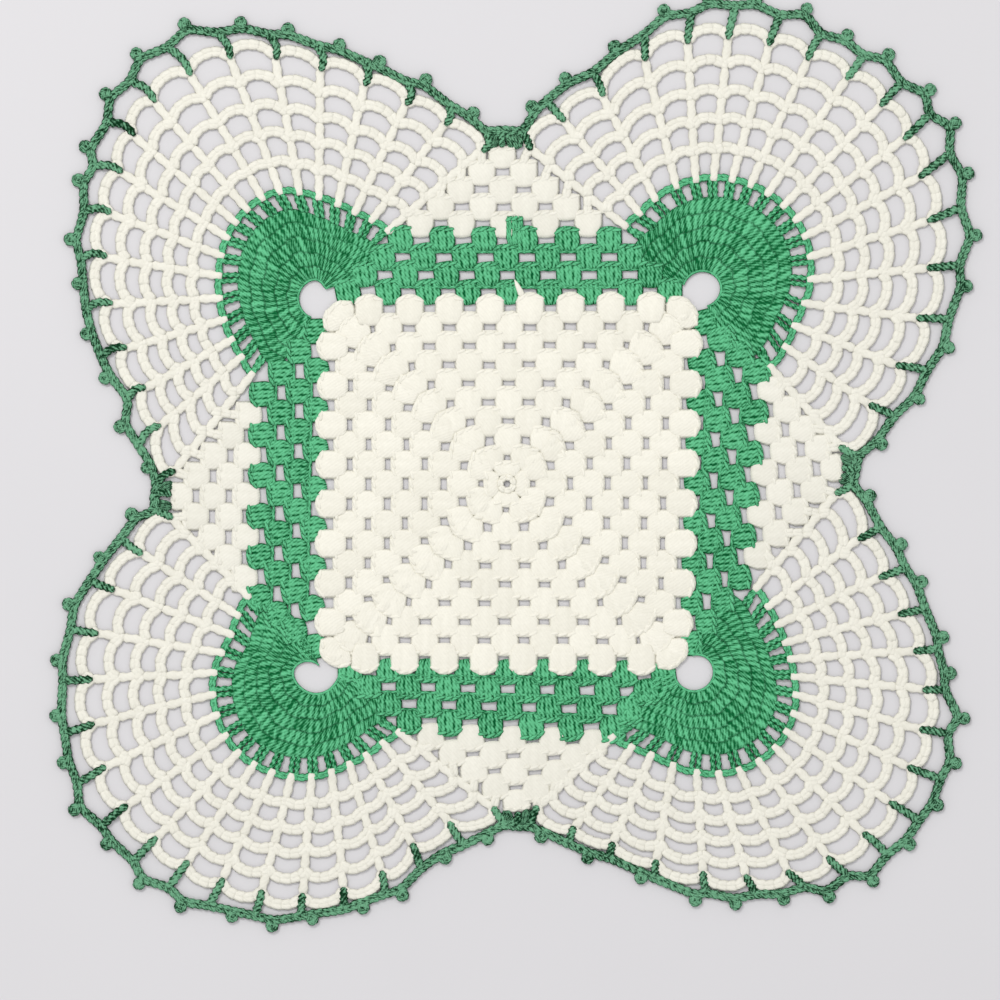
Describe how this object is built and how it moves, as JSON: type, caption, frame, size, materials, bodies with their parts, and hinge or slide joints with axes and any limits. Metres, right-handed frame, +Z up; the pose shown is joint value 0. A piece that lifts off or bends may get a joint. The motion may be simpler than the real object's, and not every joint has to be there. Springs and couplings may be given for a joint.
{
  "type": "lace doily",
  "caption": "Flat crochet doily with rounded lobes: ivory granny square, green band with corner fans, ivory net border and green picot edging.",
  "frame": {"origin": "middle of the centre square, on the underside the doily rests on", "axes": "+Z up, out of the face that is seen; +X and +Y along the square's sides, +Y away from the viewer"},
  "size_m": [0.3345, 0.3382, 0.0024],
  "materials": {
    "ivory_cotton": "matte ivory cotton yarn, crocheted",
    "green_cotton": "matte leaf green cotton yarn, crocheted"
  },
  "bodies": {
    "root": {"centre_square": "ivory_cotton", "green_band": "green_cotton", "ivory_border": "ivory_cotton", "picot_edging": "green_cotton"}
  },
  "joints": []
}
